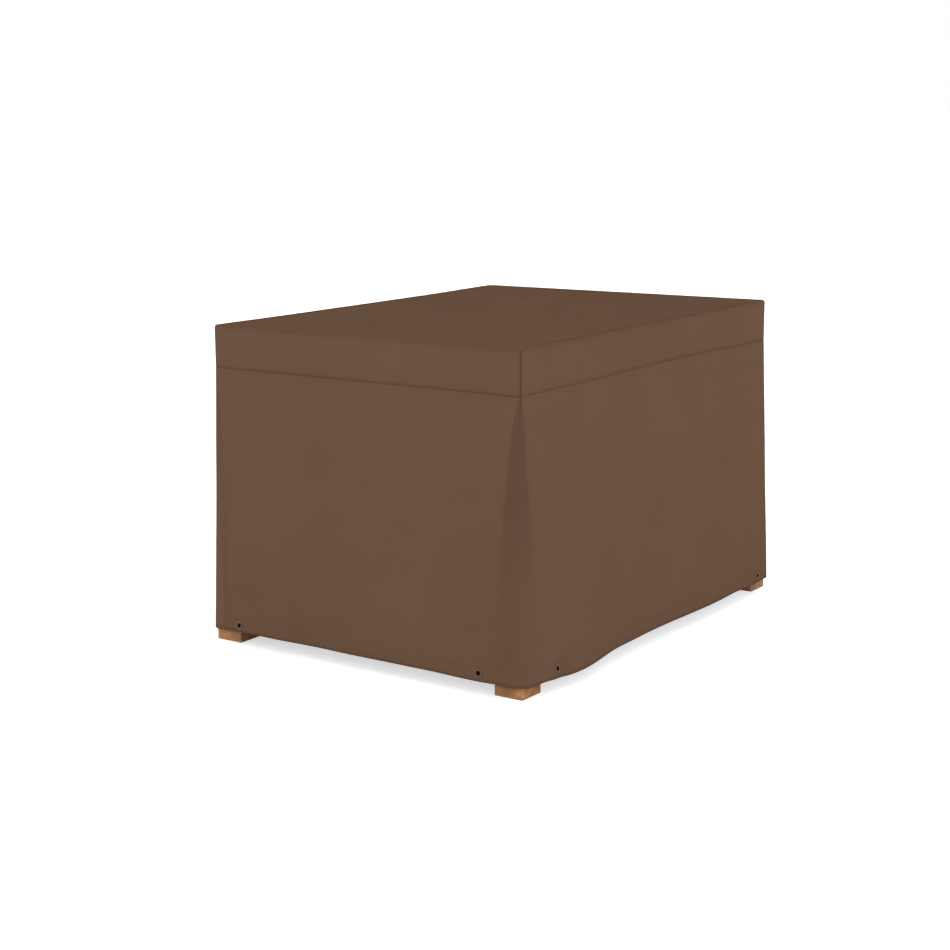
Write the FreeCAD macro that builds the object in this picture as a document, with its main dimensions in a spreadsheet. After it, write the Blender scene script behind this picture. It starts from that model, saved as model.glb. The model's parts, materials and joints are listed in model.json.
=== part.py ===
import FreeCAD, Part
import math
import os
import Sketcher

# A fitted fabric cover over a timber stand. The cover is sewn from a top panel, a straight boxing
# band and four skirt panels that flare out to rounded corners at the hem. It lifts straight up off
# the stand. The origin is on the ground under the middle, +X to the right, +Y to the back, +Z up.

DRIVING_SIZES = [
    ("cover_width", 1005.0, "outside width of the top, along X"),
    ("cover_depth", 1350.0, "outside depth of the top, along Y"),
    ("overall_height", 885.0, "ground to the top face"),
    ("band_height", 115.0, "top face to the seam under the boxing band"),
    ("hem_height", 42.0, "ground to the hem"),
    ("hem_flare", 44.0, "how far the hem stands out past the top, on each side"),
    ("top_radius", 12.0, "outside corner radius of the top and the band"),
    ("hem_radius", 104.0, "outside corner radius at the hem"),
    ("fabric_thickness", 2.0, "coated fabric with its lining"),
    ("hem_depth", 40.0, "height of the turned-up hem facing"),
    ("eyelet_corner_distance", 146.0, "flared corner to the nearest eyelet, along the hem"),
    ("eyelet_rise", 20.0, "hem to the eyelet's centre, up the panel"),
    ("eyelet_bore_radius", 6.35, "half-inch eyelet"),
    ("eyelet_wall", 0.6, "wall of the eyelet's barrel"),
    ("eyelet_flange_radius", 12.5, "outer flange"),
    ("eyelet_flange_thickness", 1.2, "outer flange"),
    ("washer_radius", 12.0, "back washer"),
    ("washer_thickness", 0.8, "back washer"),
    ("eyelet_roll_radius", 8.6, "barrel end rolled over the washer"),
    ("stand_gap", 4.0, "inner face of the fabric to the stand's posts"),
    ("deck_gap", 0.5, "underside of the top panel to the deck"),
    ("foot_size", 86.0, "square foot block"),
    ("foot_height", 60.0, "square foot block"),
    ("foot_proud", 10.0, "how far the foot blocks stand out past the top"),
    ("dowel_radius", 10.0, "dowel between foot and post"),
    ("dowel_length", 80.0, "half in the foot, half in the post"),
    ("post_size", 70.0, "square corner post"),
    ("rail_thickness", 30.0, "all rails and the joist"),
    ("rail_setback", 10.0, "post's outer face to the rail's outer face"),
    ("lower_rail_depth", 70.0, "vertical size of the lower rails"),
    ("lower_rail_rise", 130.0, "ground to the underside of the lower rails"),
    ("upper_rail_depth", 90.0, "vertical size of the upper rails and the joist"),
    ("board_thickness", 20.0, "deck boards"),
    ("board_gap", 10.0, "between deck boards"),
    ("board_count", 9.0, "deck boards"),
    ("timber_edge_radius", 3.0, "eased long edges of every timber"),
    ("deck_screw_length", 50.0, "countersunk, through a board into a rail"),
    ("deck_screw_radius", 2.25, "shank"),
    ("rail_screw_length", 110.0, "countersunk, through a post into a rail's end"),
    ("rail_screw_radius", 3.0, "shank"),
    ("joist_screw_length", 80.0, "countersunk, through a rail into the joist's end"),
    ("first_screw_rise", 12.0, "rail's underside to its lowest screw"),
    ("screw_step", 13.0, "between a post's screws, which come in turn from its two outer faces"),
]

SIDES = ["front", "right", "back", "left"]
CORNERS = {"front_left": (-1, -1), "front_right": (1, -1), "back_right": (1, 1), "back_left": (-1, 1)}
CORNER_CUT = math.radians(45)
SCREW_HEAD = 2.0          # head's radius, in shank radii
SCREW_TIP_LENGTH = 1.5    # pointed end, in shank radii
SCREW_TIP_END = 0.3       # radius of the blunt end of the point, in shank radii
Z_AXIS = FreeCAD.Vector(0, 0, 1)

doc = FreeCAD.newDocument("spa_cover")
sheet = doc.addObject("Spreadsheet::Sheet", "dims")
parts = []


def fill_sheet():
    """Driving sizes first, then the sizes that follow from them, one row each."""
    derived = [
        ("seam_height", "=overall_height - band_height"),
        ("deck_top", "=overall_height - fabric_thickness - deck_gap"),
        ("deck_underside", "=deck_top - board_thickness"),
        ("stand_width", "=cover_width - 2 * (fabric_thickness + stand_gap)"),
        ("stand_depth", "=cover_depth - 2 * (fabric_thickness + stand_gap)"),
        ("post_length", "=deck_underside - foot_height"),
        ("board_width", "=(stand_depth - (board_count - 1) * board_gap) / board_count"),
        ("hem_facing_part", "=hem_depth / (seam_height - hem_height)"),
        ("facing_flare", "=hem_flare * (1 - hem_facing_part)"),
        ("facing_radius", "=hem_radius - (hem_radius - top_radius) * hem_facing_part"),
    ]
    for row, (alias, value, meaning) in enumerate(DRIVING_SIZES, start=1):
        sheet.set("A%d" % row, meaning)
        sheet.set("B%d" % row, str(value))
        sheet.setAlias("B%d" % row, alias)
    doc.recompute()
    for row, (alias, formula) in enumerate(derived, start=len(DRIVING_SIZES) + 1):
        sheet.set("B%d" % row, formula)
        sheet.setAlias("B%d" % row, alias)
        doc.recompute()


def size(alias):
    return float(sheet.get(alias))


def bound(expression):
    """An expression in sheet aliases, as the document's own expression engine reads it."""
    words = expression.replace("(", " ( ").replace(")", " ) ").split()
    return " ".join("dims." + word if word[0].isalpha() else word for word in words)


def value_of(expression):
    """The number that such an expression gives now, for a sketch's starting geometry."""
    probe = doc.getObject("probe") or doc.addObject("App::FeaturePython", "probe")
    if not hasattr(probe, "Value"):
        probe.addProperty("App::PropertyFloat", "Value")
    probe.setExpression("Value", bound(expression))
    probe.recompute()
    return probe.Value


def add_part(thing, label):
    thing.Label = label
    parts.append(thing)
    return thing


def new_sketch(body, name, height=None):
    """A sketch on the body's own XY plane, raised to a height when one is given."""
    sketch = body.newObject("Sketcher::SketchObject", name)
    plane = [face for face in body.Origin.OriginFeatures if face.Role == "XY_Plane"][0]
    sketch.AttachmentSupport = (plane, [""])
    sketch.MapMode = "FlatFace"
    if height is not None:
        sketch.setExpression("AttachmentOffset.Base.z", bound(height))
    return sketch


def dimension(sketch, constraint, expression):
    index = sketch.addConstraint(constraint)
    sketch.setExpression("Constraints[%d]" % index, bound(expression))


def rounded_rectangle(sketch, x_size, y_size, radius):
    """A rectangle centred on the sketch's origin, with four equal rounded corners."""
    half_x = value_of(x_size) / 2
    half_y = value_of(y_size) / 2
    r = value_of(radius)
    quarter = math.pi / 2
    arcs = []
    for turn, (sx, sy) in enumerate([(1, -1), (1, 1), (-1, 1), (-1, -1)]):
        centre = FreeCAD.Vector(sx * (half_x - r), sy * (half_y - r), 0)
        arcs.append(Part.ArcOfCircle(Part.Circle(centre, Z_AXIS, r), (turn - 1) * quarter, turn * quarter))
    lines = [Part.LineSegment(arcs[turn - 1].EndPoint, arcs[turn].StartPoint) for turn in range(4)]
    sketch.addGeometry(lines + arcs, False)
    for turn in range(4):
        sketch.addConstraint(Sketcher.Constraint("Tangent", turn, 2, 4 + turn, 1))
        sketch.addConstraint(Sketcher.Constraint("Tangent", 4 + turn, 2, (turn + 1) % 4, 1))
    for turn, direction in enumerate(["Horizontal", "Vertical", "Horizontal", "Vertical"]):
        sketch.addConstraint(Sketcher.Constraint(direction, turn))
    for turn in range(1, 4):
        sketch.addConstraint(Sketcher.Constraint("Equal", 4, 4 + turn))
    sketch.addConstraint(Sketcher.Constraint("Symmetric", 4, 3, 6, 3, -1, 1))
    dimension(sketch, Sketcher.Constraint("Radius", 4, r), radius)
    across = Sketcher.Constraint("DistanceX", 7, 3, 4, 3, 2 * (half_x - r))
    up = Sketcher.Constraint("DistanceY", 4, 3, 5, 3, 2 * (half_y - r))
    dimension(sketch, across, "%s - 2 * %s" % (x_size, radius))
    dimension(sketch, up, "%s - 2 * %s" % (y_size, radius))


def panel_section(sketch, half_width, standoff, outer_radius, inner_radius):
    """One side panel cut level: a straight run between two half corners, each cut at 45 degrees.

    The panel faces -Y. half_width and standoff run from the middle to the corners' centres."""
    cx = value_of(half_width)
    cy = -value_of(standoff)
    r_out = value_of(outer_radius)
    r_in = value_of(inner_radius)
    right = FreeCAD.Vector(cx, cy, 0)
    left = FreeCAD.Vector(-cx, cy, 0)
    down = -math.pi / 2

    def arc(centre, radius, first, last):
        return Part.ArcOfCircle(Part.Circle(centre, Z_AXIS, radius), first, last)

    right_out = arc(right, r_out, down, down + CORNER_CUT)
    right_in = arc(right, r_in, down, down + CORNER_CUT)
    left_out = arc(left, r_out, down - CORNER_CUT, down)
    left_in = arc(left, r_in, down - CORNER_CUT, down)
    outer = Part.LineSegment(left_out.EndPoint, right_out.StartPoint)
    right_end = Part.LineSegment(right_out.EndPoint, right_in.EndPoint)
    inner = Part.LineSegment(right_in.StartPoint, left_in.EndPoint)
    left_end = Part.LineSegment(left_in.StartPoint, left_out.StartPoint)
    sketch.addGeometry([outer, right_out, right_end, right_in, inner, left_in, left_end, left_out], False)
    start, end, centre = 1, 2, 3
    for first, first_end, second, second_end in [(0, end, 1, start), (4, start, 3, start),
                                                 (4, end, 5, end), (7, end, 0, start)]:
        sketch.addConstraint(Sketcher.Constraint("Tangent", first, first_end, second, second_end))
    for first, first_end, second, second_end in [(1, end, 2, start), (2, end, 3, end),
                                                 (5, start, 6, start), (6, end, 7, start),
                                                 (1, centre, 3, centre), (5, centre, 7, centre)]:
        sketch.addConstraint(Sketcher.Constraint("Coincident", first, first_end, second, second_end))
    sketch.addConstraint(Sketcher.Constraint("Equal", 1, 7))
    sketch.addConstraint(Sketcher.Constraint("Equal", 3, 5))
    sketch.addConstraint(Sketcher.Constraint("Symmetric", 1, centre, 7, centre, -2))
    sketch.addConstraint(Sketcher.Constraint("PointOnObject", 1, centre, 2))
    sketch.addConstraint(Sketcher.Constraint("PointOnObject", 7, centre, 6))
    sketch.addConstraint(Sketcher.Constraint("Perpendicular", 2, 6))
    sketch.addConstraint(Sketcher.Constraint("Angle", 0, end, 2, end, 3 * CORNER_CUT))
    dimension(sketch, Sketcher.Constraint("Radius", 1, r_out), outer_radius)
    dimension(sketch, Sketcher.Constraint("Radius", 3, r_in), inner_radius)
    across = Sketcher.Constraint("DistanceX", 7, centre, 1, centre, 2 * cx)
    dimension(sketch, across, "2 * ( " + half_width + " )")
    dimension(sketch, Sketcher.Constraint("DistanceY", 1, centre, -1, 1, -cy), standoff)


def turned(side):
    """From the front, which faces -Y, round to the right, the back and the left."""
    return FreeCAD.Placement(FreeCAD.Vector(), FreeCAD.Rotation(Z_AXIS, 90 * side))


def upright_panel(label, side):
    """A boxing band panel: the same section all the way up."""
    along, across = ("cover_width", "cover_depth") if side % 2 == 0 else ("cover_depth", "cover_width")
    body = doc.addObject("PartDesign::Body", label + "_body")
    sketch = new_sketch(body, label + "_section", "seam_height")
    panel_section(sketch, along + " / 2 - top_radius", across + " / 2 - top_radius",
                  "top_radius", "top_radius - fabric_thickness")
    pad = body.newObject("PartDesign::Pad", label + "_pad")
    pad.Profile = sketch
    pad.setExpression("Length", bound("band_height - fabric_thickness"))
    body.Placement = turned(side)
    return add_part(body, label)


def section_edges(height, half_width, standoff, outer_radius, inner_radius):
    """The edges of a panel section like panel_section's, in order, at a height of their own."""
    right = FreeCAD.Vector(half_width, -standoff, height)
    left = FreeCAD.Vector(-half_width, -standoff, height)
    down = -math.pi / 2

    def point(centre, radius, angle):
        return centre + radius * FreeCAD.Vector(math.cos(angle), math.sin(angle), 0)

    def arc(centre, radius, first, last):
        middle = point(centre, radius, (first + last) / 2)
        return Part.Edge(Part.Arc(point(centre, radius, first), middle, point(centre, radius, last)))

    def line(first, last):
        return Part.Edge(Part.LineSegment(first, last))

    seam_right = down + CORNER_CUT
    seam_left = down - CORNER_CUT
    return [
        line(point(left, outer_radius, down), point(right, outer_radius, down)),
        arc(right, outer_radius, down, seam_right),
        line(point(right, outer_radius, seam_right), point(right, inner_radius, seam_right)),
        arc(right, inner_radius, seam_right, down),
        line(point(right, inner_radius, down), point(left, inner_radius, down)),
        arc(left, inner_radius, down, seam_left),
        line(point(left, inner_radius, seam_left), point(left, outer_radius, seam_left)),
        arc(left, outer_radius, seam_left, down),
    ]


def flared_panel(label, side, low, high, punch):
    """A fabric panel that flares out downwards, its corners oblique cones and the rest flat.

    Each section is (height, flare, outer radius of the corner, how far its outer face lies inside
    the cover's outer face). No sketched feature makes these cones without turning the flat faces
    into splines, so its faces are built one by one."""
    along, across = ("cover_width", "cover_depth") if side % 2 == 0 else ("cover_depth", "cover_width")
    levels = []
    for height, flare, radius, inset in (low, high):
        to_centre = size(flare) - size(radius) if flare else -size(radius)
        outer = size(radius) - inset
        levels.append(section_edges(height, size(along) / 2 + to_centre, size(across) / 2 + to_centre,
                                    outer, outer - size("fabric_thickness")))
    faces = [Part.Face(Part.Wire(level)) for level in levels]
    for below, above in zip(*levels):
        if isinstance(below.Curve, Part.Line):
            ring = [vertex.Point for vertex in below.Vertexes + above.Vertexes[::-1]]
            faces.append(Part.Face(Part.makePolygon(ring + ring[:1])))
        else:
            faces.append(Part.makeRuledSurface(below, above))
    solid = Part.makeSolid(Part.makeShell(faces))
    if solid.Volume < 0:
        solid.reverse()
    blank = doc.addObject("Part::Feature", label + "_blank")
    blank.Shape = solid
    blank.Placement = turned(side)
    return cut(label, blank, punch)


def cut(label, base, tool):
    result = doc.addObject("Part::Cut", label)
    result.Base = base
    result.Tool = tool
    return add_part(result, label)


def timber(label, x_size, y_size, length, rotation, base, fixings):
    """A sawn timber with eased long edges: a section padded along its length, turned into place and
    drilled for its fixings."""
    body = doc.addObject("PartDesign::Body", label + "_blank")
    sketch = new_sketch(body, label + "_section")
    rounded_rectangle(sketch, x_size, y_size, "timber_edge_radius")
    pad = body.newObject("PartDesign::Pad", label + "_pad")
    pad.Profile = sketch
    pad.setExpression("Length", bound(length))
    body.Placement = FreeCAD.Placement(FreeCAD.Vector(), rotation)
    for axis, expression in zip("xyz", base):
        body.setExpression("Placement.Base." + axis, bound(expression))
    return cut(label, body, fixings)


def group(label, shapes, is_part=True):
    """Identical small pieces kept together in one node, each a separate solid."""
    feature = doc.addObject("Part::Feature", label)
    feature.Shape = Part.makeCompound(shapes)
    feature.Placement = FreeCAD.Placement()
    feature.Label = label
    if is_part:
        parts.append(feature)
    return feature


def placed(shape, position, direction):
    """A copy of a shape made along +Z, moved to a position with its +Z along a direction."""
    copy = shape.copy()
    copy.Placement = FreeCAD.Placement(position, FreeCAD.Rotation(Z_AXIS, direction))
    return copy


def countersunk_screw(length, radius):
    """A screw that points down -Z with its flat head's face at z = 0."""
    head_radius = SCREW_HEAD * radius
    tip = SCREW_TIP_LENGTH * radius
    head = Part.makeCone(head_radius, radius, head_radius - radius, FreeCAD.Vector(), -Z_AXIS)
    shank = Part.makeCylinder(radius, length - tip, FreeCAD.Vector(), -Z_AXIS)
    tip_end = SCREW_TIP_END * radius
    point = Part.makeCone(radius, tip_end, tip, FreeCAD.Vector(0, 0, tip - length), -Z_AXIS)
    return head.fuse(shank).fuse(point).removeSplitter()


# ---- fasteners of the stand ----

def rail_axis_offsets():
    """How far the rails' middle planes stand from the centre, along X and along Y."""
    inset = size("rail_setback") + size("rail_thickness") / 2
    return size("stand_width") / 2 - inset, size("stand_depth") / 2 - inset


def board_centres():
    pitch = size("board_width") + size("board_gap")
    count = int(size("board_count"))
    return [(index - (count - 1) / 2) * pitch for index in range(count)]


def deck_screws():
    """Two screws through each board into each side rail and into the joist."""
    screw = countersunk_screw(size("deck_screw_length"), size("deck_screw_radius"))
    rail_x = rail_axis_offsets()[0]
    quarter_board = size("board_width") / 4
    screws = []
    for y in board_centres():
        for x in (-rail_x, 0, rail_x):
            for shift in (-quarter_board, quarter_board):
                screws.append(placed(screw, FreeCAD.Vector(x, y + shift, size("deck_top")), Z_AXIS))
    return group("deck_screws", screws)


def rail_screws():
    """Two screws through a post into each rail end, the two directions at different heights,
    and two through each of the front and back upper rails into the joist."""
    screw = countersunk_screw(size("rail_screw_length"), size("rail_screw_radius"))
    joist_screw = countersunk_screw(size("joist_screw_length"), size("rail_screw_radius"))
    rail_x, rail_y = rail_axis_offsets()
    face_x = size("stand_width") / 2
    face_y = size("stand_depth") / 2
    screws = []
    for underside in (size("lower_rail_rise"), size("deck_underside") - size("upper_rail_depth")):
        for sx, sy in CORNERS.values():
            for rise in (size("first_screw_rise"), size("first_screw_rise") + 2 * size("screw_step")):
                into_x_rail = FreeCAD.Vector(sx * face_x, sy * rail_y, underside + rise)
                into_y_rail = FreeCAD.Vector(sx * rail_x, sy * face_y, underside + rise + size("screw_step"))
                screws.append(placed(screw, into_x_rail, FreeCAD.Vector(sx, 0, 0)))
                screws.append(placed(screw, into_y_rail, FreeCAD.Vector(0, sy, 0)))
    for sy in (-1, 1):
        for steps in (1, 3):
            rise = size("first_screw_rise") + steps * size("screw_step")
            place = FreeCAD.Vector(0, sy * (face_y - size("rail_setback")), underside + rise)
            screws.append(placed(joist_screw, place, FreeCAD.Vector(0, sy, 0)))
    return group("rail_screws", screws)


def post_centre(sx, sy):
    half_post = size("post_size") / 2
    return sx * (size("stand_width") / 2 - half_post), sy * (size("stand_depth") / 2 - half_post)


def foot_dowels():
    dowel = Part.makeCylinder(size("dowel_radius"), size("dowel_length"))
    low = size("foot_height") - size("dowel_length") / 2
    places = [FreeCAD.Vector(*post_centre(sx, sy), low) for sx, sy in CORNERS.values()]
    return group("foot_dowels", [placed(dowel, place, Z_AXIS) for place in places])


# ---- the stand ----

def build_stand():
    upright = FreeCAD.Rotation()
    along_x = FreeCAD.Rotation(FreeCAD.Vector(0, 1, 0), 90)
    along_y = FreeCAD.Rotation(FreeCAD.Vector(1, 0, 0), -90)
    deck_fixings = deck_screws()
    dowels = foot_dowels()
    solids = deck_fixings.Shape.Solids + dowels.Shape.Solids + rail_screws().Shape.Solids
    fixings = group("fixings", solids, is_part=False)

    for corner, (sx, sy) in CORNERS.items():
        foot_at = ["%d * ( %s / 2 + foot_proud - foot_size / 2 )" % (sign, span)
                   for sign, span in ((sx, "cover_width"), (sy, "cover_depth"))]
        timber("foot_" + corner, "foot_size", "foot_size", "foot_height", upright, foot_at + ["0"], dowels)
        post_at = ["%d * ( %s / 2 - post_size / 2 )" % (sign, span)
                   for sign, span in ((sx, "stand_width"), (sy, "stand_depth"))]
        timber("post_" + corner, "post_size", "post_size", "post_length", upright,
               post_at + ["foot_height"], fixings)

    inset = "%d * ( %s / 2 - rail_setback - rail_thickness / 2 )"
    for level, depth, middle in (
            ("lower", "lower_rail_depth", "lower_rail_rise + lower_rail_depth / 2"),
            ("upper", "upper_rail_depth", "deck_underside - upper_rail_depth / 2")):
        for name, sign in (("front", -1), ("back", 1)):
            base = ["post_size - stand_width / 2", inset % (sign, "stand_depth"), middle]
            timber("%s_rail_%s" % (level, name), depth, "rail_thickness",
                   "stand_width - 2 * post_size", along_x, base, fixings)
        for name, sign in (("left", -1), ("right", 1)):
            base = [inset % (sign, "stand_width"), "post_size - stand_depth / 2", middle]
            timber("%s_rail_%s" % (level, name), "rail_thickness", depth,
                   "stand_depth - 2 * post_size", along_y, base, fixings)

    joist_reach = "( stand_depth / 2 - rail_setback - rail_thickness )"
    timber("deck_joist", "rail_thickness", "upper_rail_depth", "2 * " + joist_reach, along_y,
           ["0", "- 1 * " + joist_reach, "deck_underside - upper_rail_depth / 2"], fixings)

    for index in range(int(size("board_count"))):
        steps = "( %d - ( board_count - 1 ) / 2 )" % index
        timber("deck_board_%d" % (index + 1), "board_thickness", "board_width", "stand_width", along_x,
               ["- 1 * stand_width / 2", steps + " * ( board_width + board_gap )",
                "deck_top - board_thickness / 2"], deck_fixings)


# ---- eyelets ----

def eyelet_places():
    """Each eyelet's centre on the skirt's outer face, with that face's outward normal."""
    drop = size("seam_height") - size("hem_height")
    slope = math.atan2(size("hem_flare"), drop)
    places = []
    for side in range(4):
        half = [size("cover_width") / 2, size("cover_depth") / 2]
        half_along, half_across = half if side % 2 == 0 else half[::-1]
        along = half_along + size("hem_flare") - size("eyelet_corner_distance")
        across = half_across + size("hem_flare") - size("eyelet_rise") * math.sin(slope)
        height = size("hem_height") + size("eyelet_rise") * math.cos(slope)
        turn = FreeCAD.Rotation(Z_AXIS, 90 * side)
        normal = turn.multVec(FreeCAD.Vector(0, -math.cos(slope), math.sin(slope)))
        for sign in (-1, 1):
            places.append((turn.multVec(FreeCAD.Vector(sign * along, -across, height)), normal))
    return places


def revolved(outline):
    """A full turn about Z of a closed outline of (radius, z) corners."""
    corners = [FreeCAD.Vector(radius, 0, z) for radius, z in outline]
    face = Part.Face(Part.makePolygon(corners + corners[:1]))
    return face.revolve(FreeCAD.Vector(), Z_AXIS, 360)


def eyelet_shape():
    """Flange outside, barrel through both layers and the washer, and its end rolled over."""
    bore = size("eyelet_bore_radius")
    barrel = bore + size("eyelet_wall")
    flange = size("eyelet_flange_radius")
    rise = size("eyelet_flange_thickness")
    roll = size("eyelet_roll_radius")
    edge = rise / 3
    back = -2 * size("fabric_thickness") - size("washer_thickness")
    roll_back = back - rise / 2
    rolled_end = [(bore, roll_back), (roll, roll_back), (roll, back), (barrel, back), (barrel, 0)]
    domed_flange = [(flange, 0), (flange, edge), (flange - edge, rise - edge / 2), (flange - 2 * rise, rise)]
    return revolved(rolled_end + domed_flange + [(bore + edge, rise), (bore, rise - edge)])


def washer_shape():
    inner = size("eyelet_bore_radius") + size("eyelet_wall")
    outer = size("washer_radius")
    front = -2 * size("fabric_thickness")
    back = front - size("washer_thickness")
    return revolved([(inner, back), (outer, back), (outer, front), (inner, front)])


def build_eyelets():
    """The eyelets, their washers and the round punch that makes their holes in the fabric."""
    places = eyelet_places()
    group("eyelets", [placed(eyelet_shape(), place, normal) for place, normal in places])
    group("eyelet_washers", [placed(washer_shape(), place, normal) for place, normal in places])
    barrel = size("eyelet_bore_radius") + size("eyelet_wall")
    reach = 5 * size("fabric_thickness")
    punch = Part.makeCylinder(barrel, 2 * reach, FreeCAD.Vector(0, 0, -reach))
    return group("eyelet_punch", [placed(punch, place, normal) for place, normal in places], is_part=False)


# ---- the cover ----

def build_cover():
    punch = build_eyelets()
    top = doc.addObject("PartDesign::Body", "top_panel_body")
    outline = new_sketch(top, "top_panel_outline", "overall_height - fabric_thickness")
    rounded_rectangle(outline, "cover_width", "cover_depth", "top_radius")
    pad = top.newObject("PartDesign::Pad", "top_panel_pad")
    pad.Profile = outline
    pad.setExpression("Length", bound("fabric_thickness"))
    add_part(top, "top_panel")

    hem = size("hem_height")
    fabric = size("fabric_thickness")
    for side, name in enumerate(SIDES):
        upright_panel("band_" + name, side)
        flared_panel("skirt_" + name, side, (hem, "hem_flare", "hem_radius", 0),
                     (size("seam_height"), None, "top_radius", 0), punch)
        flared_panel("hem_facing_" + name, side, (hem, "hem_flare", "hem_radius", fabric),
                     (hem + size("hem_depth"), "facing_flare", "facing_radius", fabric), punch)


def check_document():
    """Stop before anything is written if an object failed or a part's shape is empty or faulty."""
    for thing in doc.Objects:
        if "Invalid" in thing.State or "Error" in thing.State:
            raise RuntimeError("%s failed: %s" % (thing.Label, thing.State))
    for thing in parts:
        if thing.Shape.isNull() or not thing.Shape.isValid() or not thing.Shape.Solids:
            raise RuntimeError("%s has no valid solid" % thing.Label)


fill_sheet()
build_stand()
build_cover()
doc.recompute()
check_document()
os.makedirs("parts", exist_ok=True)
for thing in parts:
    thing.Shape.exportStep("parts/%s.step" % thing.Label)
    print("%-24s %3d solids %12.0f mm3" % (thing.Label, len(thing.Shape.Solids), thing.Shape.Volume))
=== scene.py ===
import json
import math
import random

import bmesh
import bpy
import numpy as np
from mathutils import Matrix, Vector, noise


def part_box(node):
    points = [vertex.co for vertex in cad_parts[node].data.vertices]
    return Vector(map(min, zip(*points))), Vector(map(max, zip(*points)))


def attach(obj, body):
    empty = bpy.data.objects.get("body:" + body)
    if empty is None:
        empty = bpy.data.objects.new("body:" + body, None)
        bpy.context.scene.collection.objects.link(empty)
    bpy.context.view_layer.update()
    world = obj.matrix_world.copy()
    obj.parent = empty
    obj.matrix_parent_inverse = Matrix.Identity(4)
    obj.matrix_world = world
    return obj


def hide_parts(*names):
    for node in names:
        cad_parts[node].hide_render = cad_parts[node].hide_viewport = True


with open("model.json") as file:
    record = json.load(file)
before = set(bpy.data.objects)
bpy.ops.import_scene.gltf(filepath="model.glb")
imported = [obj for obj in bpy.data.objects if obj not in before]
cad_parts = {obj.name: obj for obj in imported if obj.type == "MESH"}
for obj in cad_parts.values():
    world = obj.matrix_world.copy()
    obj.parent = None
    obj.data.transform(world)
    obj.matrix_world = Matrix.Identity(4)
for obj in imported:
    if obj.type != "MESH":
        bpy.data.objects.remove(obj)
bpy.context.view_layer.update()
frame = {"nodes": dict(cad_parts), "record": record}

# A fitted fabric cover on a timber stand. The cover is sewn from a top panel, a boxing band and a
# flared skirt with a turned hem, and each of them is one continuous curved sheet here. The front
# faces -Y and the right side faces +X. All sizes are in metres.

# ---- sizes read from the frame ----

_, top_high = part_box("top_panel")
band_low, band_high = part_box("band_front")
skirt_low, skirt_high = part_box("skirt_front")
_, facing_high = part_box("hem_facing_front")
HALF_X = top_high.x
HALF_Y = top_high.y
TOP_Z = top_high.z
SEAM_Z = band_low.z
HEM_Z = skirt_low.z
FACING_Z = facing_high.z
FLARE = -skirt_low.y - HALF_Y
# A corner of radius r that is cut at 45 degrees ends r * (1 - cos 45) short of the square corner.
CORNER_SHARE = 1 - math.cos(math.radians(45))
TOP_RADIUS = (HALF_X - band_high.x) / CORNER_SHARE
HEM_RADIUS = (HALF_X + FLARE - skirt_high.x) / CORNER_SHARE

# ---- sizes of the sewing ----

FABRIC = 0.0009          # thickness of the cloth
ROLL = 0.0014            # radius that a panel's edge rolls in by, into a seam
SEAM_FLAT = 3 * ROLL     # a panel lies flat from this far beside a seam
CORNER_ROLL = 0.0019     # the roll at the band's upright corner seams, which pull in harder
UPRIGHT_END = 0.125      # share of the skirt's drop at which the last of those seams has died out
HEM_ROLL = 0.0020        # half the thickness of the turned hem
HEM_EDGE = 0.003         # from the turned hem's upper edge down to its upper stitches
EDGE_INSET = 1.4 * HEM_ROLL    # how far inside the skirt's face that edge lies
SPACING = 0.0105         # between the mesh's rows and columns
FAR = 1.0                # stands for any distance well away from every seam or eyelet
QUARTER_TURN = math.radians(90)
TINY = 1e-9
SAME_PLACE = 1e-6        # points nearer than this are one point

TOPSTITCH = 0.005        # from a seam or the hem's fold to the row of stitches beside it
STITCH_PITCH = 0.0042
STITCH_LENGTH = 0.0032
STITCH_RADIUS = 0.00035
STITCH_LIFT = 0.6 * STITCH_RADIUS    # from the cloth to the stitch's middle line
STITCH_SIDES = 5
# Places along a stitch, as shares of its length from the middle, and its radius there as a share.
STITCH_PROFILE = [(-0.5, 0.25), (-0.38, 0.85), (0.0, 1.0), (0.38, 0.85), (0.5, 0.25)]

CORNER_DIP = 0.0035      # how far the top's corners are drawn down by their seams
CORNER_DIP_REACH = 0.008     # how far in over the top that reaches
CORNER_DIP_POWER = 6     # and how soon it dies out down the band
TOP_INSETS = (0.006, 0.009)  # from the top's edge to its next rings of points
PUCKER = 0.0005          # how far the cloth puckers along a seam
PUCKER_LENGTH = 0.020    # from one pucker to the next
PUCKER_START = 0.004     # how far from the seam the puckers are full
PUCKER_REACH = 0.016     # and how far they die out
SEAM_SHADE_REACH = 0.0023  # how far from a seam the cloth is darkened, by dust and by painted shade in the seam's groove
HEM_SHADE = 2.0          # how much more the hem's fold is darkened than a seam, by dirt and by painted shade under the fold

# Slow waves in the cloth: how far they stand out at most, and how many there are to a metre.
WAVE = 0.0012
WAVES_PER_METRE = 5.0
TOP_WAVE = 0.0007
TOP_WAVES_PER_METRE = 6.0
SETTLE_REACH = 0.10      # how far from the rim the top's waves are full
SEEDS = {"ring_waves": 1, "ring_puckers": 2, "top_waves": 5, "top_puckers": 7}
SEED_STEPS = (13.7, 5.1, 9.3)    # how far along each axis one seed's noise is from the next

# How flat each corner of the skirt gets, from the right of the front round: 0 is an arc and 1 is
# its chord.
FLATTEST = np.array([0.70, 0.12, 0.55, 0.06])
# How far each cone leans back from the side after it, as a share of the corner's radius.
LEANS = np.array([0.32, 0.0, -0.15, 0.0])
# Shares of the skirt's drop at which a corner is flattest, grows rounder and is round.
CONE_FULL = 0.10
CONE_FADE = 0.45
CONE_END = 0.93

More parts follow.
